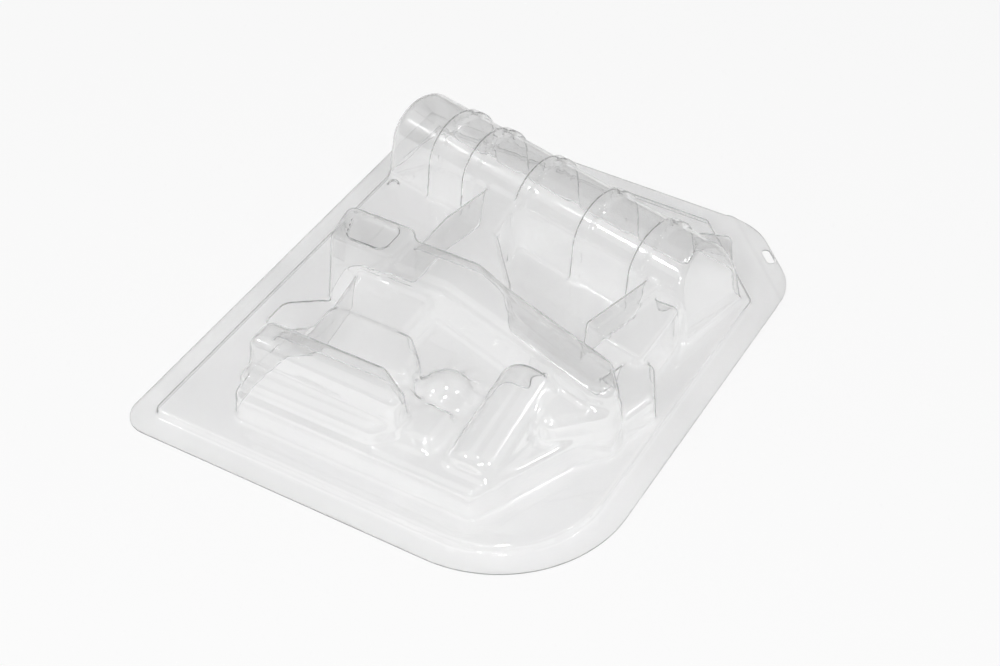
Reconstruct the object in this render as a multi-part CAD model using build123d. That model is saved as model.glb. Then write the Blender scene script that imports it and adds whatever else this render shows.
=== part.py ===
from build123d import *
import math
import os

# Clear thermoformed blister shell, lying on its rim with its cavities upwards.
# It is one plastic sheet: a flat rim, a low raised panel inside the rim, and the
# cavities that held a tool and its fittings. The hollow side faces down.
# Millimetres. The origin is the middle of the rim's underside, +Y the tube's side.

# Sheet and rim
pack_width = 200.0
pack_depth = 240.0
wall = 0.5
rim_margin = 10.0
corner_small = 12.0
corner_large = 56.0

# Cut-off corner: hanging tab, its hole, and the rounded crease where it folds
tab_cut = 29.6
tab_round = 28.0
slot_length = 9.5
slot_width = 3.6
slot_land = 1.0
crease_cut = 42.0
crease_width = 3.0
crease_height = 0.7

# Raised panel
panel_height = 4.0
panel_corner = 4.0
panel_cut_gap = 7.0

# Levels of the cavities above the table
terrace_level = 6.0
ledge_level = 17.0
step_level = 22.0
shelf_level = 26.0
seat_level = 27.0
cheek_level = 29.0
pod_level = 38.0
arm_level = 36.0
box_level = 40.0

# Wall slope and rounding
draft = 5.0
foot_corner = 7.0
tight_corner = 4.0
bevel_size = 2.0
main_bevel = 3.0

# Sunk lid panel of the box
lid_side = 9.0
lid_end = 6.5
lid_depth = 2.0

# Tube along the back, turned a little towards the front at its right end
tube_radius = 18.0
tube_axis_level = 20.0
tube_turn = 12.0
tube_left_gap = 1.5
tube_back_gap = 24.0
tube_length = 175.0
tube_nose = 12.0
tube_nose_level = 19.0
tube_nose_step = 3.0
tube_end_bevel = 4.5
rib_rise = 1.5
rib_width = 6.0
rib_places = (28.0, 48.0, 78.0, 112.0, 142.0)

# Round boss and studs in front of the tube's left end
boss_radius = 4.5
boss_level = 22.0
stud_radius = 2.5
stud_places = ((3.0, 38.0), (7.0, 50.0))

# Round-topped saddle and dome in the seat's pocket
saddle_radius = 13.0
saddle_left = 134.0
saddle_back = 70.0
saddle_length = 48.0
saddle_back_level = 34.0
saddle_fall = 12.0
dome_radius = 12.0
dome_level = 25.0

left = -pack_width / 2 + rim_margin
right = pack_width / 2 - rim_margin
front = -pack_depth / 2 + rim_margin
back = pack_depth / 2 - rim_margin
foot = panel_height - 2 * wall


def outline(points, corner):
    """A closed flat outline with all its corners rounded alike."""
    face = make_face(Polyline(*points, close=True))
    return fillet(face.vertices(), corner)


def step(base, bottom, level, inset):
    """A flat outline pushed up with sloping walls and a sharp top edge."""
    if inset:
        base = offset(base, -inset, kind=Kind.INTERSECTION)
    return extrude(Pos(0, 0, bottom) * base, level - bottom - inset, taper=draft)


def block(points, level, inset, bevel=bevel_size):
    """A cavity: rounded corners, sloping walls and a bevelled top."""
    solid = step(outline(points, foot_corner), foot, level, inset)
    top_edges = solid.edges().group_by(Axis.Z)[-1]
    return chamfer(top_edges, bevel - inset * (2 - math.sqrt(2)))


def peg(x, y, radius, level, inset):
    """A small round bump."""
    return Pos(x, y, foot) * extrude(Circle(radius - inset), level - foot - inset)


def rim():
    """The flat rim with one tight corner, one wide corner and the hanging tab."""
    x = pack_width / 2
    y = pack_depth / 2
    face = make_face(
        Polyline((-x, -y), (x, -y), (x, y - tab_cut), (x - tab_cut, y), (-x, y), close=True)
    )
    face = fillet(face.vertices().sort_by_distance((-x, -y))[0], corner_small)
    face = fillet(face.vertices().sort_by_distance((x, -y))[0], corner_large)
    for corner in ((x, y - tab_cut), (x - tab_cut, y)):
        face = fillet(face.vertices().sort_by_distance(corner)[0], tab_round)
    return face


def across_corner(cut):
    """A frame on the line that cuts the back right corner, x along that line."""
    return Pos(pack_width / 2 - cut / 2, pack_depth / 2 - cut / 2) * Rot(0, 0, -45)


def slot():
    """The oval hanging hole, its long side along the tab's edge."""
    inward = Pos(0, -slot_land - slot_width / 2)
    return across_corner(tab_cut) * inward * SlotOverall(slot_length, slot_width)


def crease(inset):
    """The rounded rib across the cut-off corner, where the tab folds."""
    radius = (crease_width ** 2 / 4 + crease_height ** 2) / (2 * crease_height)
    rod = Rot(0, 90, 0) * Cylinder(radius - inset, crease_cut * 2)
    return across_corner(crease_cut) * Pos(0, 0, wall + crease_height - radius) * rod


def panel(inset):
    """The low raised panel, parallel to the rim's edge."""
    cut = crease_cut - rim_margin + panel_cut_gap
    face = make_face(
        Polyline(
            (left, front), (right, front), (right, back - cut), (right - cut, back), (left, back),
            close=True,
        )
    )
    face = fillet(face.vertices().sort_by_distance((right, front))[0], corner_large - rim_margin)
    for corner in ((left, front), (left, back)):
        face = fillet(face.vertices().sort_by_distance(corner)[0], panel_corner)
    return step(face, 0, panel_height, inset)


def tube_place():
    """Frame at the tube's left end: x across the tube to the back, y up, z along it."""
    turn = math.radians(tube_turn)
    along = (math.cos(turn), -math.sin(turn), 0)
    across = (math.sin(turn), math.cos(turn), 0)
    origin = (left + tube_left_gap, back - tube_back_gap, 0)
    return Plane(origin=origin, x_dir=across, z_dir=along)


def arch(radius, centre):
    """Round-topped section on two sloping skirts, its arc's centre at a given height."""
    lean = math.radians(draft)
    shoulder = (radius * math.cos(lean), centre + radius * math.sin(lean))
    spread = shoulder[0] + (shoulder[1] - foot) * math.tan(lean)
    line = Polyline((-shoulder[0], shoulder[1]), (-spread, foot), (spread, foot), shoulder)
    crown = ThreePointArc(shoulder, (0, centre + radius), (-shoulder[0], shoulder[1]))
    return make_face(line + crown)


def tube(inset):
    """The long tube: leaning left end, and a right end that slopes down in two steps."""
    place = tube_place()
    top = tube_axis_level + tube_radius + 1
    lean = math.tan(math.radians(draft))
    body = extrude(place * arch(tube_radius - inset, tube_axis_level), tube_length)
    side = make_face(
        Polyline(
            (inset, foot),
            (inset + (top - foot) * lean, top),
            (tube_length - tube_nose - inset, top),
            (tube_length - tube_nose_step - inset, tube_nose_level),
            (tube_length - inset, foot),
            close=True,
        )
    )
    across = Plane(origin=place.origin, x_dir=place.z_dir, z_dir=-place.x_dir)
    body &= extrude(across * side, 3 * tube_radius, both=True)
    end = body.faces().sort_by(Axis(tuple(place.origin), tuple(place.z_dir)))[0]
    top_edges = [e for e in end.edges() if e.center().Z > foot + wall]
    return chamfer(top_edges, tube_end_bevel - inset * (2 - math.sqrt(2)))


def ribs(inset):
    """Raised rings round the tube."""
    place = tube_place()
    section = place * arch(tube_radius + rib_rise - inset, tube_axis_level)
    ring = extrude(section, rib_width - 2 * inset)
    return [Pos(*(place.z_dir * (start + inset))) * ring for start in rib_places]


def saddle(inset):
    """The half-round saddle in the pocket, falling from the arm to the ledge."""
    start = (left + saddle_left, front + saddle_back, 0)
    place = Plane(origin=start, x_dir=(1, 0, 0), z_dir=(0, -1, 0))
    body = extrude(
        place * arch(saddle_radius - inset, saddle_back_level - saddle_radius),
        saddle_length - inset,
    )
    hinge = Axis((0, front + saddle_back, saddle_back_level), (1, 0, 0))
    body = body.rotate(hinge, saddle_fall)
    above = extrude(Pos(0, 0, foot) * Rectangle(pack_width, pack_depth), box_level)
    return body & above


def sunk_lid(box, inset):
    """The shallow recess in the top of the box, inside a level border."""
    sides = (lid_side, -lid_end), (lid_side, lid_end), (-lid_side, lid_end), (-lid_side, -lid_end)
    lid = [(x + across, y + along) for (x, y), (across, along) in zip(box, sides)]
    face = outline(lid, tight_corner)
    if inset:
        face = offset(face, inset)
    return Pos(0, 0, box_level - lid_depth - inset) * extrude(face, lid_depth + wall)


def tool_cavities(inset):
    """The cavities for the tool's body: ledge, grip pod, seat, arm and box."""
    ledge = [
        (left + 29, front + 12), (right - 38, front + 12), (right - 18, front + 57),
        (right - 8, front + 68), (right - 8, front + 78), (right - 20, front + 90),
        (left + 100, front + 112), (left + 40, front + 108), (left + 42, front + 60),
        (left + 29, front + 48),
    ]
    shelf = [
        (left + 30, front + 14), (left + 96, front + 14), (left + 106, front + 28),
        (left + 92, front + 58), (left + 78, front + 71), (left + 43, front + 72),
        (left + 42, front + 58), (left + 30, front + 48),
    ]
    seat = [
        (left + 42, front + 60), (left + 80, front + 60), (left + 80, front + 92),
        (left + 90, front + 98), (left + 122, front + 84), (right - 46, front + 70),
        (right - 30, front + 46), (right - 8, front + 68), (right - 8, front + 78),
        (right - 18, front + 91), (left + 102, front + 110),
        (left + 36, front + 112), (left + 38, front + 88),
    ]
    knob = [
        (left + 90, front + 22), (left + 118, front + 22), (left + 118, front + 46),
        (left + 90, front + 48),
    ]
    pod = [
        (left + 29, front + 22), (left + 106, front + 20), (left + 104, front + 33),
        (left + 88, front + 43), (left + 29, front + 43),
    ]
    cheek = [
        (left + 42, front + 40), (left + 96, front + 40), (left + 92, front + 60),
        (left + 82, front + 70), (left + 41, front + 70),
    ]
    arm = [
        (left + 50, front + 88), (left + 82, front + 88), (right - 20, front + 65),
        (right - 8, front + 68), (right - 8, front + 78), (right - 18, front + 91),
        (left + 104, front + 109), (left + 87, front + 116), (left + 50, front + 116),
    ]
    box = [
        (left + 19, front + 116), (left + 24, front + 88), (left + 60, front + 88),
        (left + 60, front + 116),
    ]
    body = block(ledge, ledge_level, inset)
    body += block(shelf, shelf_level, inset)
    body += step(outline(seat, foot_corner), foot, seat_level, inset)
    body += step(outline(knob, foot_corner), foot, step_level, inset)
    body += block(pod, pod_level, inset, main_bevel)
    body += block(cheek, cheek_level, inset)
    body += block(arm, arm_level, inset, main_bevel)
    body += block(box, box_level, inset)
    body += saddle(inset)
    body += peg(left + 104, front + 56, dome_radius, dome_level, inset)
    return body - sunk_lid(box, inset)


def side_cavities(inset):
    """The shallower cavities between the arm, the tube and the right edge."""
    bridge = [
        (left + 51, front + 108), (left + 104, front + 104), (left + 100, front + 118),
        (left + 80, front + 142), (left + 76, front + 175), (left + 58, front + 175),
        (left + 51, front + 140),
    ]
    strip = [
        (right - 46, front + 110), (right - 36, front + 106), (right - 24, front + 150),
        (right - 34, front + 156),
    ]
    notch = [
        (right - 42, front + 110), (right - 14, front + 104), (right - 14, front + 134),
        (right - 15, front + 144), (right - 30, front + 144),
    ]
    heel = [
        (right - 30, front + 92), (right - 8, front + 74), (right - 2, front + 95),
        (right - 12, front + 114), (right - 24, front + 112),
    ]
    terrace = [
        (left + 10, front + 64), (left + 29, front + 50), (left + 50, front + 52),
        (left + 50, front + 94), (left + 24, front + 88), (left + 10, front + 78),
    ]
    lump = [
        (right - 36, back - 24), (right - 24, back - 48), (right - 7, back - 43),
        (right - 19, back - 18),
    ]
    body = step(outline(bridge, foot_corner), foot, seat_level, inset)
    body += step(outline(strip, tight_corner), foot, shelf_level, inset)
    body += step(outline(notch, tight_corner), foot, step_level, inset)
    body += step(outline(heel, tight_corner), foot, ledge_level, inset)
    body += step(outline(terrace, foot_corner), foot, terrace_level, inset)
    body += step(outline(lump, tight_corner), foot, ledge_level, inset)
    body += peg(left + 32, back - 46, boss_radius, boss_level, inset)
    for x, y in stud_places:
        body += peg(left + x, back - y, stud_radius, terrace_level, inset)
    return body


def form(inset):
    """Everything the mould pushes up, shrunk by the sheet's thickness for the inside."""
    body = panel(inset) + tool_cavities(inset) + side_cavities(inset) + tube(inset)
    for ring in ribs(inset):
        body += ring
    return body


def shell():
    """The finished sheet: rim and outer forms, less the hollow, the crease and the hole."""
    outer = extrude(rim(), wall) + form(0) + (crease(0) & extrude(rim(), ledge_level))
    hollow = form(wall) + crease(wall)
    open_foot = Pos(0, 0, -wall) * extrude(rim(), wall)
    return outer - hollow - open_foot - extrude(slot(), 2 * wall, both=True)


if __name__ == "__main__":
    os.makedirs("parts", exist_ok=True)
    whole = shell()
    print(len(whole.solids()), whole.is_valid, whole.bounding_box())
    export_step(whole, "parts/blister_shell.step")
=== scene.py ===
# %% [markdown]
# # A clear blister shell
# The object is one sheet of clear rigid plastic, softened by heat and drawn over a mould.
# What the eye sees is not the sheet but its gloss, its steep walls and its rounded corners.
# So most of the work is one smooth closed skin, half a millimetre thick, and one finish.

# %% Load the frame
import math

import bpy
import numpy as np
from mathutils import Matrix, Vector


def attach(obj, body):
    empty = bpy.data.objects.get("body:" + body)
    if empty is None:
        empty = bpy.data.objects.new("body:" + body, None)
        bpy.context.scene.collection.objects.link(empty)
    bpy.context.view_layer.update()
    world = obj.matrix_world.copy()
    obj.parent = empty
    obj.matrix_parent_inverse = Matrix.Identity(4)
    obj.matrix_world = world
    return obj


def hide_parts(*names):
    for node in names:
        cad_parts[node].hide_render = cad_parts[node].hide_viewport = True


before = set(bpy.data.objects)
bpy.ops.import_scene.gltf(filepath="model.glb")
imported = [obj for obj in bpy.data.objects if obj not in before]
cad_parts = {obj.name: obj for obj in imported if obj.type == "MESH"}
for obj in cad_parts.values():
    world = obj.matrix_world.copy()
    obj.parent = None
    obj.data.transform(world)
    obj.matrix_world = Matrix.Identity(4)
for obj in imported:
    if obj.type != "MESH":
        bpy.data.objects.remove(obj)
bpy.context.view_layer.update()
MM = 0.001

# %% [markdown]
# ## The forms as distances
# A formed sheet has no sharp inner corner: where a wall meets a floor, the sheet bridges it
# in a small curve. Modelling each curve by hand is slow. A field of distances gives them all
# at once: each cavity is a function that is negative inside it, and a rounded union joins
# two functions with a fillet. All sizes here are millimetres.

# %% Sizes of the sheet and its rim
SHEET = 0.5
WIDTH = 200.0
DEPTH = 240.0
MARGIN = 10.0
CORNER_SMALL = 12.0
CORNER_LARGE = 56.0
TAB_CUT = 29.6
TAB_ROUND = 28.0
LEFT, RIGHT = -WIDTH / 2 + MARGIN, WIDTH / 2 - MARGIN
FRONT, BACK = -DEPTH / 2 + MARGIN, DEPTH / 2 - MARGIN
FOOT = 3.0
LEAN = math.tan(math.radians(5.0))
LEAN_COS = math.cos(math.radians(5.0))
print("panel edges:", LEFT, RIGHT, FRONT, BACK)

# %% Distance helpers


def polygon_distance(x, y, points):
    """Signed distance from a closed outline, negative inside."""
    nearest = np.full(np.broadcast(x, y).shape, 1e9)
    inside = np.zeros(nearest.shape, bool)
    for (ax, ay), (bx, by) in zip(points, points[1:] + points[:1]):
        ex, ey = bx - ax, by - ay
        along = np.clip(((x - ax) * ex + (y - ay) * ey) / (ex * ex + ey * ey), 0, 1)
        gap = np.hypot(x - ax - along * ex, y - ay - along * ey)
        nearest = np.minimum(nearest, gap)
        crosses = (ay > y) != (by > y)
        slope = ex / ey if ey else 0.0
        inside ^= crosses & (x < ax + (y - ay) * slope)
    return np.where(inside, -nearest, nearest)


def shrink(points, inset):
    """The outline moved inwards, each corner where its two moved sides meet."""
    moved = []
    count = len(points)
    for i in range(count):
        (px, py), (qx, qy), (rx, ry) = points[i - 1], points[i], points[(i + 1) % count]
        ux, uy = qx - px, qy - py
        vx, vy = rx - qx, ry - qy
        lu, lv = math.hypot(ux, uy), math.hypot(vx, vy)
        nx, ny = -uy / lu - vy / lv, ux / lu + vx / lv
        scale = inset / (1 + (ux * vx + uy * vy) / (lu * lv))
        moved.append((qx + nx * scale, qy + ny * scale))
    return moved


def rounded_outline(x, y, points, corner):
    """Distance from an outline whose outer corners are rounded."""
    return polygon_distance(x, y, shrink(points, corner)) - corner


def round_meet(a, b, edge):
    """The space inside both, with a rounded edge where the two surfaces meet."""
    over_a, over_b = np.maximum(a + edge, 0), np.maximum(b + edge, 0)
    return np.hypot(over_a, over_b) - edge + np.minimum(np.maximum(a, b) + edge, 0)


def round_join(a, b, fillet):
    """The space inside either, with a fillet in the corner between them."""
    under_a, under_b = np.maximum(fillet - a, 0), np.maximum(fillet - b, 0)
    return np.maximum(fillet, np.minimum(a, b)) - np.hypot(under_a, under_b)


def block(x, y, z, points, level, corner, edge):
    """A cavity with leaning walls and a rounded top, from its outline at the foot."""
    side = (rounded_outline(x, y, points, corner) + (z - FOOT) * LEAN) * LEAN_COS
    return round_meet(side, z - level, edge)


print("helpers ready")

# %% [markdown]
# ## The low forms: rim and panel
# The rim is a flat sheet on the table. The panel inside it is a step of 4 mm that follows
# the rim's outline at 10 mm, and stops short of the cut-off corner, where the tab folds.
# Circles and straight cuts describe both, so their distances are exact.

# %% Rim and panel
PANEL_LEVEL = 4.0
PANEL_CORNER = 4.0
PANEL_CUT = 59.0
PANEL_EDGE = 1.2
CREASE_CUT = 42.0
CREASE_RISE = 0.7
CREASE_RADIUS = 2.0


def rounded_corner(x, y, cx, cy, radius, sx, sy):
    """Distance from a rounded box corner whose circle is centred at cx, cy."""
    dx, dy = np.maximum((x - cx) * sx, 0), np.maximum((y - cy) * sy, 0)
    return np.hypot(dx, dy) - radius


def sheet_outline(x, y, inset, small, large, cut):
    """Distance from the rim's outline moved inwards, with its cut-off corner."""
    half_x, half_y = WIDTH / 2 - inset, DEPTH / 2 - inset
    edges = np.maximum(np.abs(x) - half_x, np.abs(y) - half_y)
    low_left = rounded_corner(x, y, small - half_x, small - half_y, small, -1, -1)
    low_right = rounded_corner(x, y, half_x - large, large - half_y, large, 1, -1)
    chamfer = (x + y - (WIDTH + DEPTH) / 2 + cut) / math.sqrt(2)
    return np.maximum(np.maximum(edges, chamfer), np.maximum(low_left, low_right))


def panel(x, y, z):
    """The low raised panel."""
    side = sheet_outline(x, y, MARGIN, PANEL_CORNER, CORNER_LARGE - MARGIN, PANEL_CUT)
    return round_meet(side + z * LEAN, z - PANEL_LEVEL, PANEL_EDGE)


def crease(x, y, z):
    """The rounded rib across the cut-off corner."""
    across = (x + y - (WIDTH + DEPTH) / 2 + CREASE_CUT) / math.sqrt(2)
    return np.hypot(across, z - SHEET - CREASE_RISE + CREASE_RADIUS) - CREASE_RADIUS


print("rim and panel ready")

# %% [markdown]
# ## The tool's cavities
# The tool lay on its side, so its cavity is a stack of levels: a low ledge along the front,
# a shelf with a long rounded pod for the grip, a seat for the body, an arm that runs to the
# right edge, and a square box with a sunk lid. Each level is one outline and one height.

# %% Tool cavities
# Each row holds the level, the rounding of the top edge, the fillet and the outline.
FOOT_CORNER = 7.0
TOOL_CAVITIES = {
    "ledge": (17.0, 3.0, 0.0, [
        (LEFT + 29, FRONT + 12), (RIGHT - 38, FRONT + 12), (RIGHT - 18, FRONT + 57),
        (RIGHT - 8, FRONT + 68), (RIGHT - 8, FRONT + 78), (RIGHT - 20, FRONT + 90),
        (LEFT + 100, FRONT + 112), (LEFT + 40, FRONT + 108), (LEFT + 42, FRONT + 60),
        (LEFT + 29, FRONT + 48),
    ]),
    "shelf": (26.0, 4.0, 2.0, [
        (LEFT + 30, FRONT + 14), (LEFT + 96, FRONT + 14), (LEFT + 106, FRONT + 28),
        (LEFT + 92, FRONT + 58), (LEFT + 78, FRONT + 71), (LEFT + 43, FRONT + 72),
        (LEFT + 42, FRONT + 58), (LEFT + 30, FRONT + 48),
    ]),
    "seat": (27.0, 4.0, 2.0, [
        (LEFT + 42, FRONT + 60), (LEFT + 80, FRONT + 60), (LEFT + 80, FRONT + 92),
        (LEFT + 90, FRONT + 98), (LEFT + 122, FRONT + 84), (RIGHT - 46, FRONT + 70),
        (RIGHT - 30, FRONT + 46), (RIGHT - 8, FRONT + 68), (RIGHT - 8, FRONT + 78),
        (RIGHT - 18, FRONT + 91), (LEFT + 102, FRONT + 110),
        (LEFT + 36, FRONT + 112), (LEFT + 38, FRONT + 88),
    ]),
    "knob": (22.0, 4.0, 3.0, [
        (LEFT + 90, FRONT + 22), (LEFT + 118, FRONT + 22), (LEFT + 118, FRONT + 46),
        (LEFT + 90, FRONT + 48),
    ]),
    "cheek": (29.0, 4.0, 2.0, [
        (LEFT + 42, FRONT + 40), (LEFT + 96, FRONT + 40), (LEFT + 92, FRONT + 60),
        (LEFT + 82, FRONT + 70), (LEFT + 41, FRONT + 70),
    ]),
    "pod": (38.0, 5.0, 2.0, [
        (LEFT + 29, FRONT + 22), (LEFT + 106, FRONT + 20), (LEFT + 104, FRONT + 33),
        (LEFT + 88, FRONT + 43), (LEFT + 29, FRONT + 43),
    ]),
    "arm": (36.0, 5.0, 2.5, [
        (LEFT + 50, FRONT + 88), (LEFT + 82, FRONT + 88), (RIGHT - 20, FRONT + 65),
        (RIGHT - 8, FRONT + 68), (RIGHT - 8, FRONT + 78), (RIGHT - 18, FRONT + 91),
        (LEFT + 104, FRONT + 109), (LEFT + 87, FRONT + 116), (LEFT + 50, FRONT + 116),
    ]),
}


def tool_body(x, y, z):
    """All the tool's levels, each joined to those before it with its own fillet."""
    body = None
    for level, edge, fillet, points in TOOL_CAVITIES.values():
        part = block(x, y, z, points, level, FOOT_CORNER, edge)
        body = part if body is None else round_join(body, part, fillet)
    return body


BOX_LEVEL = 40.0
BOX_EDGE = 2.0
LID_DEPTH = 2.0
LID_CORNER = 4.0
LID_EDGE = 1.0


def box(x, y, z):
    """The square cavity with its sunk lid."""
    outline = [
        (LEFT + 19, FRONT + 116), (LEFT + 24, FRONT + 88), (LEFT + 60, FRONT + 88),
        (LEFT + 60, FRONT + 116),
    ]
    lid = [
        (LEFT + 28, FRONT + 109.5), (LEFT + 33, FRONT + 94.5), (LEFT + 51, FRONT + 94.5),
        (LEFT + 51, FRONT + 109.5),
    ]
    whole = block(x, y, z, outline, BOX_LEVEL, FOOT_CORNER, BOX_EDGE)
    sunk = round_meet(rounded_outline(x, y, lid, LID_CORNER), BOX_LEVEL - LID_DEPTH - z, LID_EDGE)
    return round_meet(whole, -sunk, LID_EDGE)


SADDLE_X = LEFT + 134
SADDLE_FRONT, SADDLE_BACK = FRONT + 22, FRONT + 72
SADDLE_FALL_LENGTH = 48.0
SADDLE_LOW, SADDLE_RISE = 11.0, 10.0
SADDLE_RADIUS = 13.0
SADDLE_EDGE = 4.0


def saddle(x, y, z):
    """The half-round saddle in the pocket, falling towards the ledge."""
    run = np.clip((y - SADDLE_FRONT) / SADDLE_FALL_LENGTH, 0, 1)
    centre = SADDLE_LOW + SADDLE_RISE * run
    dx = np.abs(x - SADDLE_X)
    around = np.where(z > centre, np.hypot(dx, z - centre), dx) - SADDLE_RADIUS
    ends = np.maximum(SADDLE_FRONT - y, y - SADDLE_BACK)
    return round_meet(around, ends, SADDLE_EDGE)


DOME_X, DOME_Y = LEFT + 104, FRONT + 56
DOME_CENTRE, DOME_RADIUS = 13.0, 12.0


def dome(x, y, z):
    """The low dome beside the pod."""
    dx, dy, dz = x - DOME_X, y - DOME_Y, z - DOME_CENTRE
    return np.sqrt(dx ** 2 + dy ** 2 + dz ** 2) - DOME_RADIUS


print("tool cavities ready")

# %% [markdown]
# ## The tube with its rings
# The handle's cavity is half a tube on leaning skirts, turned twelve degrees. Its rings
# repeat, so they are one function of the place along the tube.

# %% Tube and rings
TUBE_START = (LEFT + 1.5, BACK - 24.0)
TUBE_TURN = math.radians(12.0)
TUBE_AXIS = 20.0
TUBE_RADIUS = 18.0
TUBE_LENGTH = 175.0
RINGS = (28.0, 48.0, 78.0, 112.0, 142.0)
RING_WIDTH = 6.0
RING_RISE = 1.5
RING_EDGE, RING_FILLET = 1.0, 0.8
NOSE_START, NOSE_LEVEL = 3.0, 19.0
NOSE_LEAN, NOSE_SHARE = 9.0 / 20.0, 0.91
TOE_LEAN = 3.0 / 16.0
TUBE_LEFT_EDGE, NOSE_EDGE = 6.0, 2.0


def arch(across, z, radius):
    """Distance from a round-topped section on leaning skirts."""
    skirt = (np.abs(across) - radius / LEAN_COS + (z - TUBE_AXIS) * LEAN) * LEAN_COS
    crown = np.hypot(across, z - TUBE_AXIS) - radius
    return np.where(z > TUBE_AXIS + np.abs(across) * LEAN, crown, skirt)


def tube(x, y, z):
    """The long tube with its two ends and its raised rings."""
    dx, dy = x - TUBE_START[0], y - TUBE_START[1]
    along = dx * math.cos(TUBE_TURN) - dy * math.sin(TUBE_TURN)
    across = dx * math.sin(TUBE_TURN) + dy * math.cos(TUBE_TURN)
    left_end = -along + (z - FOOT) * LEAN
    past_end = along - TUBE_LENGTH
    steep = (past_end + NOSE_START + (z - NOSE_LEVEL) * NOSE_LEAN) * NOSE_SHARE
    nose = np.maximum(steep, past_end + (z - FOOT) * TOE_LEAN)
    body = round_meet(arch(across, z, TUBE_RADIUS), left_end, TUBE_LEFT_EDGE)
    body = round_meet(body, nose, NOSE_EDGE)
    for start in RINGS:
        middle = np.abs(along - start - RING_WIDTH / 2) - RING_WIDTH / 2
        ring = round_meet(arch(across, z, TUBE_RADIUS + RING_RISE), middle, RING_EDGE)
        body = round_join(body, ring, RING_FILLET)
    return body


print("tube ready,", len(RINGS), "rings")

# %% [markdown]
# ## The side cavities
# Between the arm, the tube and the right edge lie shallower forms: a bridge, a strip, a
# notch, a heel, a terrace and a lump, with a boss and two studs near the tube's left end.

# %% Side cavities
SIDES = {
    "bridge": (27.0, 7.0, 3.0, [
        (LEFT + 51, FRONT + 108), (LEFT + 104, FRONT + 104), (LEFT + 100, FRONT + 118),
        (LEFT + 80, FRONT + 142), (LEFT + 76, FRONT + 175), (LEFT + 58, FRONT + 175),
        (LEFT + 51, FRONT + 140),
    ]),
    "strip": (26.0, 4.0, 2.0, [
        (RIGHT - 46, FRONT + 110), (RIGHT - 36, FRONT + 106), (RIGHT - 24, FRONT + 150),
        (RIGHT - 34, FRONT + 156),
    ]),
    "notch": (22.0, 4.0, 2.0, [
        (RIGHT - 42, FRONT + 110), (RIGHT - 14, FRONT + 104), (RIGHT - 14, FRONT + 134),
        (RIGHT - 15, FRONT + 144), (RIGHT - 30, FRONT + 144),
    ]),
    "heel": (17.0, 4.0, 4.0, [
        (RIGHT - 30, FRONT + 92), (RIGHT - 8, FRONT + 74), (RIGHT - 2, FRONT + 95),
        (RIGHT - 12, FRONT + 114), (RIGHT - 24, FRONT + 112),
    ]),
    "terrace": (6.0, 7.0, 1.0, [
        (LEFT + 10, FRONT + 64), (LEFT + 29, FRONT + 50), (LEFT + 50, FRONT + 52),
        (LEFT + 50, FRONT + 94), (LEFT + 24, FRONT + 88), (LEFT + 10, FRONT + 78),
    ]),
    "lump": (17.0, 4.0, 2.0, [
        (RIGHT - 36, BACK - 24), (RIGHT - 24, BACK - 48), (RIGHT - 7, BACK - 43),
        (RIGHT - 19, BACK - 18),
    ]),
}
PEG_EDGE = 1.0
WRINKLE_DEPTH = 0.35
WRINKLE_REACH = 15.0
WRINKLE_WIDTH = 5.0
WRINKLE_COUNT, WRINKLE_TWIST = 11, 0.35
WRINKLE_FLOOR, WRINKLE_FADE = 12.0, 4.0
FINE_FILLET, WALL_FILLET, TUBE_FILLET, POCKET_FILLET = 0.8, 1.5, 2.0, 3.0
PEGS = ((LEFT + 32, BACK - 46, 4.5, 22.0), (LEFT + 3, BACK - 38, 2.5, 6.0),
        (LEFT + 7, BACK - 50, 2.5, 6.0))


def peg(x, y, z, px, py, radius, level):
    """A small round bump."""
    return round_meet(np.hypot(x - px, y - py) - radius, z - level, PEG_EDGE)


def wrinkles(x, y):
    """Small folds that fan out round the dome, where the sheet was drawn unevenly."""
    dx, dy = x - DOME_X, y - DOME_Y
    reach = np.hypot(dx, dy)
    fan = np.sin(WRINKLE_COUNT * np.arctan2(dy, dx) + WRINKLE_TWIST * reach)
    return WRINKLE_DEPTH * fan * np.exp(-(((reach - WRINKLE_REACH) / WRINKLE_WIDTH) ** 2))


def sheet_top(x, y, z):
    """Distance from the upper side of the whole formed sheet."""
    z = z - wrinkles(x, y) * np.clip((z - WRINKLE_FLOOR) / WRINKLE_FADE, 0, 1)
    top = round_join(z - SHEET, panel(x, y, z), FINE_FILLET)
    top = round_join(top, crease(x, y, z), FINE_FILLET)
    top = round_join(top, tool_body(x, y, z), WALL_FILLET)
    top = round_join(top, saddle(x, y, z), POCKET_FILLET)
    top = round_join(top, dome(x, y, z), POCKET_FILLET)
    for level, corner, edge, points in SIDES.values():
        top = round_join(top, block(x, y, z, points, level, corner, edge), WALL_FILLET)
    top = round_join(top, box(x, y, z), WALL_FILLET)
    top = round_join(top, tube(x, y, z), TUBE_FILLET)
    for spot in PEGS:
        top = round_join(top, peg(x, y, z, *spot), FINE_FILLET)
    return top


print("side cavities:", ", ".join(SIDES))

# %% [markdown]
# ## From distances to a skin
# A grid of cubes samples the distances. Each cube that the skin passes through gets one
# point, and neighbouring points make four-sided faces. The points then slide along the
# slope of the distances until they lie on the skin itself, so curves come out smooth
# although the grid is coarse.

# %% Grid skin
CELL = 1.0


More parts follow.
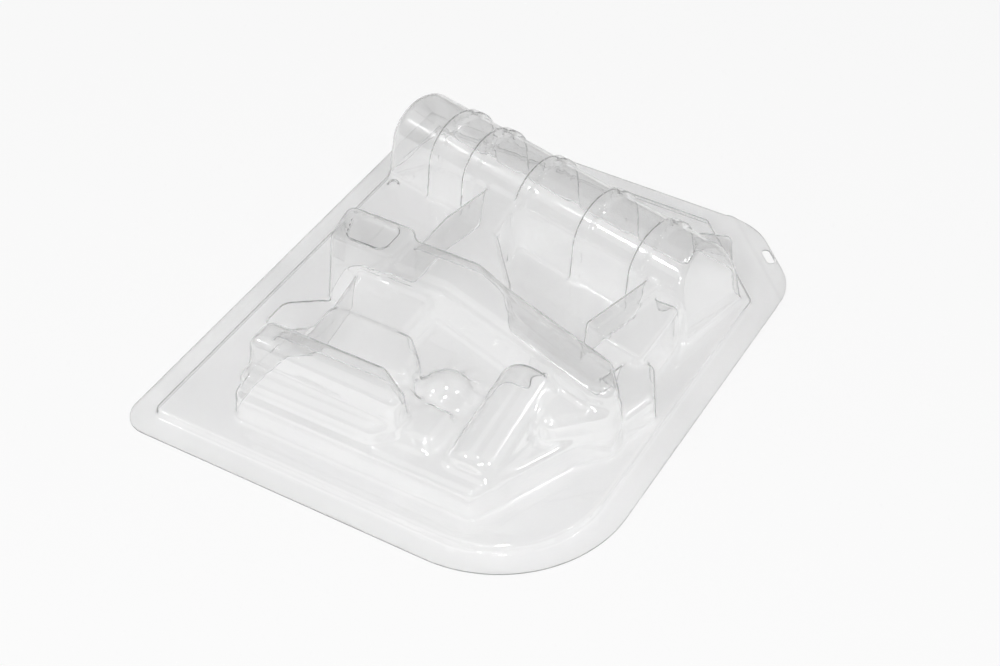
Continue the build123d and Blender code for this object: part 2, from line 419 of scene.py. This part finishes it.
def grid_skin(distance, low, high, cell):
    """Points and four-sided faces of the surface where the distance is nil."""
    axes = [np.arange(a, b + cell, cell) for a, b in zip(low, high)]
    x, y, z = np.meshgrid(*axes, indexing="ij", sparse=True)
    field = np.asarray(distance(x, y, z), np.float32)
    field = np.broadcast_to(field, tuple(len(a) for a in axes)).copy()
    solid = field < 0
    cells = tuple(n - 1 for n in field.shape)
    total = np.zeros(cells + (3,), np.float32)
    count = np.zeros(cells, np.int8)
    for axis in range(3):
        others = [a for a in range(3) if a != axis]
        head = [slice(None)] * 3
        tail = [slice(None)] * 3
        head[axis], tail[axis] = slice(0, -1), slice(1, None)
        a, b = field[tuple(head)], field[tuple(tail)]
        cut = solid[tuple(head)] != solid[tuple(tail)]
        share = np.where(cut, a / np.where(cut, a - b, 1), 0)
        for du in (0, 1):
            for dv in (0, 1):
                pick = [slice(None)] * 3
                pick[axis] = slice(0, cells[axis])
                pick[others[0]] = slice(du, du + cells[others[0]])
                pick[others[1]] = slice(dv, dv + cells[others[1]])
                here = cut[tuple(pick)]
                count += here
                total[..., axis] += np.where(here, share[tuple(pick)], 0)
                total[..., others[0]] += here * du
                total[..., others[1]] += here * dv
    used = count > 0
    number = np.full(cells, -1, np.int64)
    number[used] = np.arange(used.sum())
    corner = np.stack(np.nonzero(used), 1)
    points = (corner + total[used] / count[used][:, None]) * cell + np.array(low)
    faces = []
    for axis in range(3):
        u, v = (axis + 1) % 3, (axis + 2) % 3
        head = [slice(1, -1)] * 3
        tail = [slice(1, -1)] * 3
        head[axis], tail[axis] = slice(0, -1), slice(1, None)
        inner, outer = solid[tuple(head)], solid[tuple(tail)]
        for turned in (False, True):
            spots = np.stack(np.nonzero(inner & ~outer if not turned else ~inner & outer), 1)
            if not len(spots):
                continue
            spots = spots + np.array([0 if a == axis else 1 for a in range(3)])
            ring = []
            for du, dv in ((0, 0), (1, 0), (1, 1), (0, 1)):
                place = spots.copy()
                place[:, u] -= du
                place[:, v] -= dv
                ring.append(number[place[:, 0], place[:, 1], place[:, 2]])
            quads = np.stack(ring, 1)
            faces.append(quads[:, ::-1] if turned else quads)
    return points, np.concatenate(faces)


def slope(distance, points, reach=0.05):
    """The direction in which the distance grows fastest, at each point."""
    result = np.empty_like(points)
    for axis in range(3):
        step = np.zeros(3)
        step[axis] = reach
        ahead, behind = (points + step).T, (points - step).T
        result[:, axis] = (distance(*ahead) - distance(*behind)) / (2 * reach)
    return result


def settle(distance, points, rounds=4, most=0.5):
    """Slides the points onto the surface along the slope."""
    for _ in range(rounds):
        way = slope(distance, points)
        size = np.maximum((way * way).sum(1), 1e-6)
        move = distance(*points.T) / size
        step = way * move[:, None]
        length = np.linalg.norm(step, axis=1)
        step *= np.minimum(1, most / np.maximum(length, 1e-9))[:, None]
        points = points - step
    return points


SPARE = 4.0
low = (-WIDTH / 2 - SPARE, -DEPTH / 2 - SPARE, -1.5)
high = (WIDTH / 2 + SPARE, DEPTH / 2 + SPARE, 42.0)
skin_points, skin_faces = grid_skin(sheet_top, low, high, CELL)
skin_points = settle(sheet_top, skin_points)
print("skin:", len(skin_points), "points,", len(skin_faces), "faces")

# %% Skin to mesh


def mesh_from(name, points, faces):
    """A mesh in metres from points in millimetres."""
    mesh = bpy.data.meshes.new(name)
    mesh.from_pydata([tuple(p) for p in points * MM], [], [tuple(f) for f in faces])
    mesh.update()
    return mesh


def add_object(name, mesh):
    """A new object in the scene."""
    piece = bpy.data.objects.new(name, mesh)
    bpy.context.scene.collection.objects.link(piece)
    return piece


def applied(piece):
    """The piece's mesh with its modifiers worked out, and the modifiers removed."""
    graph = bpy.context.evaluated_depsgraph_get()
    mesh = bpy.data.meshes.new_from_object(piece.evaluated_get(graph))
    piece.modifiers.clear()
    piece.data = mesh
    return mesh


SKIN_SHARE = 0.5
skin = add_object("skin", mesh_from("skin", skin_points, skin_faces))
thin = skin.modifiers.new("thin", "DECIMATE")
thin.ratio = SKIN_SHARE
mesh = applied(skin)
print("thinned skin:", len(mesh.polygons), "faces")

# %% [markdown]
# ## Nodes written as sums
# Node trees drawn by hand are hard to read in a script. One small class wraps a socket, so
# that sums on values add the Math nodes by themselves, and one function makes any other node
# from its type, its settings and its inputs.

# %% Node helper


class Socket:
    """A node's output that can be added, subtracted and multiplied."""

    def __init__(self, tree, link):
        self.tree, self.link = tree, link

    def maths(self, operation, *values):
        return node(self.tree, "ShaderNodeMath", {"operation": operation}, *values)

    def __add__(self, other):
        return self.maths("ADD", self, other)

    def __sub__(self, other):
        return self.maths("SUBTRACT", self, other)

    def __rsub__(self, other):
        return self.maths("SUBTRACT", other, self)

    def __mul__(self, other):
        return self.maths("MULTIPLY", self, other)

    __radd__ = __add__
    __rmul__ = __mul__


def node(tree, kind, settings, *values, output=0, **named):
    """Adds a node, sets it up, and feeds its sockets with numbers or links."""
    made = tree.nodes.new(kind)
    for key, value in settings.items():
        setattr(made, key, value)
    pairs = list(enumerate(values)) + list(named.items())
    for key, value in pairs:
        socket = made.inputs[key.replace("_", " ") if isinstance(key, str) else key]
        if isinstance(value, Socket):
            tree.links.new(value.link, socket)
        else:
            socket.default_value = value
    return Socket(tree, made.outputs[output])


# %% [markdown]
# ## The sheet's thickness
# A formed sheet is one even wall, so the lower side follows the upper one at 0.5 mm. The rule
# is the same everywhere, which suits Geometry Nodes: the tree pushes the skin down along the
# slope stored on each point, turns that copy over and joins both sides into a closed wall.
# Solidify could do it too, but it guesses the slope from the faces.

# %% Sheet gauge tree


def gauge_tree(film):
    """Geometry nodes that turn an open skin into a closed sheet of even thickness."""
    tree = bpy.data.node_groups.new("sheet_gauge", "GeometryNodeTree")
    face = tree.interface
    face.new_socket("Skin", in_out="INPUT", socket_type="NodeSocketGeometry")
    gauge = face.new_socket("Thickness", in_out="INPUT", socket_type="NodeSocketFloat")
    face.new_socket("Sheet", in_out="OUTPUT", socket_type="NodeSocketGeometry")
    start = tree.nodes.new("NodeGroupInput")
    skin, thickness = Socket(tree, start.outputs["Skin"]), Socket(tree, start.outputs["Thickness"])
    way = node(tree, "GeometryNodeInputNamedAttribute", {"data_type": "FLOAT_VECTOR"},
               Name="slope", output="Attribute")
    down = node(tree, "ShaderNodeVectorMath", {"operation": "SCALE"}, way,
                Scale=-1.0 * thickness, output="Vector")
    pushed = node(tree, "GeometryNodeExtrudeMesh", {"mode": "FACES"}, skin,
                  Offset=down, Offset_Scale=1.0, Individual=False, output="Mesh")
    turned = node(tree, "GeometryNodeFlipFaces", {}, pushed, output="Mesh")
    joined = tree.nodes.new("GeometryNodeJoinGeometry")
    for side in (skin, turned):
        tree.links.new(side.link, joined.inputs[0])
    closed = node(tree, "GeometryNodeMergeByDistance", {}, Socket(tree, joined.outputs[0]),
                  Distance=0.001 * MM)
    real = node(tree, "GeometryNodeRealizeInstances", {}, closed)
    dressed = node(tree, "GeometryNodeSetMaterial", {}, real, Material=film)
    end = tree.nodes.new("NodeGroupOutput")
    tree.links.new(dressed.link, end.inputs[0])
    return tree, gauge.identifier


film = bpy.data.materials.new("clear_film")
tree, gauge_input = gauge_tree(film)
print("gauge tree:", len(tree.nodes), "nodes")

# %% Closed sheet
points = np.empty(len(mesh.vertices) * 3)
mesh.vertices.foreach_get("co", points)
points = settle(sheet_top, points.reshape(-1, 3) / MM, rounds=2)
way = slope(sheet_top, points)
way /= np.linalg.norm(way, axis=1)[:, None]
mesh.vertices.foreach_set("co", (points * MM).ravel())
mesh.attributes.new("slope", "FLOAT_VECTOR", "POINT").data.foreach_set("vector", way.ravel())
mesh.update()
shell = skin
shell.name = "blister_sheet"
gauging = shell.modifiers.new("gauge", "NODES")
gauging.node_group = tree
gauging[gauge_input] = SHEET * MM
applied(shell)
shell.data.name = "blister_sheet"
print("closed sheet:", len(shell.data.polygons), "faces")

# %% [markdown]
# ## The rim's outline and the hanging hole
# On the real pack a knife cuts the outline and the hole after forming. Here two upright
# prisms do the same as Booleans, through both sides at once, so the cut edge is square.

# %% Rim outline and hanging hole


def arc(cx, cy, radius, start, end, steps):
    """Points on a circle, from one angle to another in degrees."""
    angles = [math.radians(start + (end - start) * i / steps) for i in range(steps + 1)]
    return [(cx + radius * math.cos(a), cy + radius * math.sin(a)) for a in angles]


def rim_points():
    """The rim's outline, counter-clockwise, with its arcs."""
    x, y = WIDTH / 2, DEPTH / 2
    reach = TAB_ROUND * math.tan(math.radians(22.5))
    first = (x - TAB_ROUND, y - TAB_CUT - reach)
    last = (x - TAB_CUT - reach, y - TAB_ROUND)
    points = arc(CORNER_SMALL - x, CORNER_SMALL - y, CORNER_SMALL, 180, 270, 12)
    points += arc(x - CORNER_LARGE, CORNER_LARGE - y, CORNER_LARGE, 270, 360, 48)
    points += arc(*first, TAB_ROUND, 0, 45, 14) + arc(*last, TAB_ROUND, 45, 90, 14)
    return points + [(-x, y)]


def slot_points():
    """The hanging hole: two half circles along the tab's edge."""
    length, width, land = 9.5, 3.6, 1.0
    inward = land + width / 2
    middle = WIDTH / 2 - TAB_CUT / 2 - inward / math.sqrt(2)
    centre_y = DEPTH / 2 - TAB_CUT / 2 - inward / math.sqrt(2)
    half = (length - width) / 2 / math.sqrt(2)
    points = arc(middle + half, centre_y - half, width / 2, -135, 45, 12)
    return points + arc(middle - half, centre_y + half, width / 2, 45, 225, 12)


def prism(name, points, bottom, top):
    """A closed upright prism from an outline."""
    count = len(points)
    corners = [(px, py, z) for z in (bottom, top) for px, py in points]
    faces = [tuple(reversed(range(count))), tuple(range(count, 2 * count))]
    faces += [(i, (i + 1) % count, (i + 1) % count + count, i + count) for i in range(count)]
    return add_object(name, mesh_from(name, np.array(corners), faces))


def cut(piece, tool, operation):
    """Joins or cuts a piece with a tool, which is then deleted."""
    knife = piece.modifiers.new("cut", "BOOLEAN")
    knife.operation = operation
    knife.solver = "MANIFOLD"
    knife.object = tool
    applied(piece)
    bpy.data.objects.remove(tool)


cut(shell, prism("rim_tool", rim_points(), -5.0, 60.0), "INTERSECT")
cut(shell, prism("slot_tool", slot_points(), -5.0, 5.0), "DIFFERENCE")
print("cut sheet:", len(shell.data.polygons), "faces", shell.dimensions[:])

# %% [markdown]
# ## Smooth shading
# The faces are small, but gloss shows every one. Smooth shading blends them, and only the
# cut edges of the rim and the hole stay sharp.

# %% Shading of the faces
shell.data.attributes.remove(shell.data.attributes["slope"])
shell.data.shade_smooth()
shell.data.set_sharp_from_angle(angle=math.radians(50))
print("smooth faces:", len(shell.data.polygons))

# %% [markdown]
# ## The clear film
# The sheet is clear rigid plastic. Light bends where it enters and leaves, so a flat wall
# shows almost nothing, and a rounded edge shows a thin dark line. A Glass shader on a closed
# wall does both by itself. Its shadow would be far too dark, so shadow rays pass through a
# tinted Transparent shader instead. A faint bump makes the gloss waver, as formed film does,
# and a small share of plain gloss widens the highlights on the tight corners.

# %% Clear film
FILM_TINT = 0.99
SHADE_TINT = 0.82
SKIN_GLOSS = 0.06
SKIN_ROUGHNESS = 0.12
WAVE_SCALE = 45.0
RIPPLE = 0.1
film.use_nodes = True
tree = film.node_tree
tree.nodes.clear()
place = node(tree, "ShaderNodeTexCoord", {}, output="Object")
waves = node(tree, "ShaderNodeTexNoise", {}, Vector=place, Scale=WAVE_SCALE, Detail=1.0,
             output="Fac")
ripple = node(tree, "ShaderNodeBump", {}, Strength=RIPPLE, Distance=MM, Height=waves)
tint = (FILM_TINT, FILM_TINT, FILM_TINT, 1)
glass = node(tree, "ShaderNodeBsdfGlass", {}, Color=tint, Roughness=0.02, IOR=1.5, Normal=ripple)
shade = (SHADE_TINT, SHADE_TINT, SHADE_TINT, 1)
open_air = node(tree, "ShaderNodeBsdfTransparent", {}, Color=shade)
shadow = node(tree, "ShaderNodeLightPath", {}, output="Is Shadow Ray")
tone = (1.0, 1.0, 1.0, 1.0)
skin_gloss = node(tree, "ShaderNodeBsdfGlossy", {}, Color=tone, Roughness=SKIN_ROUGHNESS)
bright = node(tree, "ShaderNodeMixShader", {}, SKIN_GLOSS, glass, skin_gloss)
both = node(tree, "ShaderNodeMixShader", {}, shadow, bright, open_air)
out = tree.nodes.new("ShaderNodeOutputMaterial")
tree.links.new(both.link, out.inputs["Surface"])
shell.data.materials.clear()
shell.data.materials.append(film)
print("film nodes:", len(tree.nodes))

# %% [markdown]
# ## The cut edge and its painted shade
# Light that enters the sheet leaves at its cut edge, which looks like a fine grey line
# round the rim and the hole. That line is painted shade, an opaque grey on the edge faces.
# Those faces stand upright, so their direction finds them.

# %% Cut edge
painted_edge_shade = bpy.data.materials.new("cut_edge_painted_shade")
painted_edge_shade.use_nodes = True
bsdf = painted_edge_shade.node_tree.nodes["Principled BSDF"]
# painted shade: this opaque mid grey stands for the dark line that the clear edge shows in light
bsdf.inputs["Base Color"].default_value = (0.4, 0.4, 0.4, 1)
bsdf.inputs["Roughness"].default_value = 0.3
shell.data.materials.append(painted_edge_shade)
edge_faces = 0
for face in shell.data.polygons:
    on_edge = 0.1 * MM < face.center.z < 0.4 * MM and abs(face.normal.z) < 0.2
    face.material_index = int(on_edge)
    edge_faces += on_edge
print("cut edge faces:", edge_faces)
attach(shell, "root")
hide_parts("blister_shell")

# %% [markdown]
# ## The white floor
# The photo's ground is plain white, with no horizon. The floor is matt white paper that takes
# the sheet's shadow. It glows to the camera and to mirrored rays, so it reads as white without
# more light on the object, and only a little to rays that come through the film.

# %% Floor
GLOW_SHARE = 0.8
THROUGH_SHARE = 0.05
FLOOR_LEVEL = -0.2 * MM
floor_mesh = bpy.data.meshes.new("floor")
FLOOR_HALF = 4.0
signs = ((-1, -1), (1, -1), (1, 1), (-1, 1))
corners = [(a * FLOOR_HALF, b * FLOOR_HALF, FLOOR_LEVEL) for a, b in signs]
floor_mesh.from_pydata(corners, [], [(0, 1, 2, 3)])
floor = add_object("floor", floor_mesh)
paper = bpy.data.materials.new("white_paper")
paper.use_nodes = True
floor.data.materials.append(paper)
tree = paper.node_tree
tree.nodes.clear()
matt = node(tree, "ShaderNodeBsdfDiffuse", {}, Color=(0.9, 0.9, 0.9, 1))
glow = node(tree, "ShaderNodeEmission", {}, Color=(1, 1, 1, 1), Strength=1.0)
watched = node(tree, "ShaderNodeLightPath", {}, output="Is Camera Ray")
mirrored = node(tree, "ShaderNodeLightPath", {}, output="Is Glossy Ray")
through = node(tree, "ShaderNodeLightPath", {}, output="Is Transmission Ray")
seen = watched + mirrored * (1 - through) + THROUGH_SHARE * through
mixed = node(tree, "ShaderNodeMixShader", {}, GLOW_SHARE * seen, matt, glow)
out = tree.nodes.new("ShaderNodeOutputMaterial")
tree.links.new(mixed.link, out.inputs["Surface"])
print("floor at", FLOOR_LEVEL, "m")

# %% [markdown]
# ## Light
# Two wide soft lamps and an even world give the film its calm grey. Small square lamps stand
# for the studio's bright spots, and each rounded corner mirrors them as a crisp highlight.

# %% World and lamps
world = bpy.context.scene.world or bpy.data.worlds.new("world")
bpy.context.scene.world = world
world.use_nodes = True
world.node_tree.nodes["Background"].inputs["Color"].default_value = (1, 1, 1, 1)
world.node_tree.nodes["Background"].inputs["Strength"].default_value = 0.38


def softbox(name, place, aim, size, power):
    """A soft square lamp that points at a spot."""
    light = bpy.data.lights.new(name, "AREA")
    light.shape = "RECTANGLE"
    light.size, light.size_y = size
    light.energy = power
    lamp = bpy.data.objects.new(name, light)
    bpy.context.scene.collection.objects.link(lamp)
    lamp.location = place
    lamp.rotation_euler = (Vector(aim) - Vector(place)).to_track_quat("-Z", "Y").to_euler()
    return lamp


LAMPS = {
    # name: place in metres, side of the square in metres, power in watts
    "key": ((-0.9, -0.5, 1.5), 2.0, 3.5),
    "fill": ((0.9, 0.9, 1.5), 2.0, 2.5),
    "flash": ((0.3, -0.53, 0.66), 0.06, 1.1),
    "spot_above": ((0.1, -0.1, 1.3), 0.08, 1.8),
    "spot_left": ((-0.7, -0.6, 0.9), 0.08, 1.4),
    "spot_right": ((0.9, 0.2, 1.0), 0.08, 1.4),
    "spot_front": ((0.2, -0.9, 0.7), 0.08, 1.1),
}
for name, (place, side, power) in LAMPS.items():
    softbox(name, place, (0, 0, 0), (side, side), power)
print("lamps:", len(LAMPS))
bpy.context.scene.cycles.transparent_max_bounces = 32

# %% [markdown]
# ## The camera
# Its place, pitch and heading were fitted to the rim's outline in the photo.

# %% Camera
CAMERA_PLACE = (0.3118, -0.526, 0.5628)
FOCAL_LENGTH = 71.2
PITCH, HEADING = math.radians(42.68), math.radians(-30.06)
camera_data = bpy.data.cameras.new("camera")
camera_data.lens = FOCAL_LENGTH
camera_data.sensor_width = 36.0
camera_data.clip_start = 0.01
camera = bpy.data.objects.new("camera", camera_data)
bpy.context.scene.collection.objects.link(camera)
level = math.cos(PITCH)
ahead = Vector((math.sin(HEADING) * level, math.cos(HEADING) * level, -math.sin(PITCH)))
camera.location = CAMERA_PLACE
camera.rotation_euler = ahead.to_track_quat("-Z", "Y").to_euler()
bpy.context.scene.camera = camera
bpy.context.scene.view_settings.view_transform = "Standard"
print("camera at", CAMERA_PLACE)
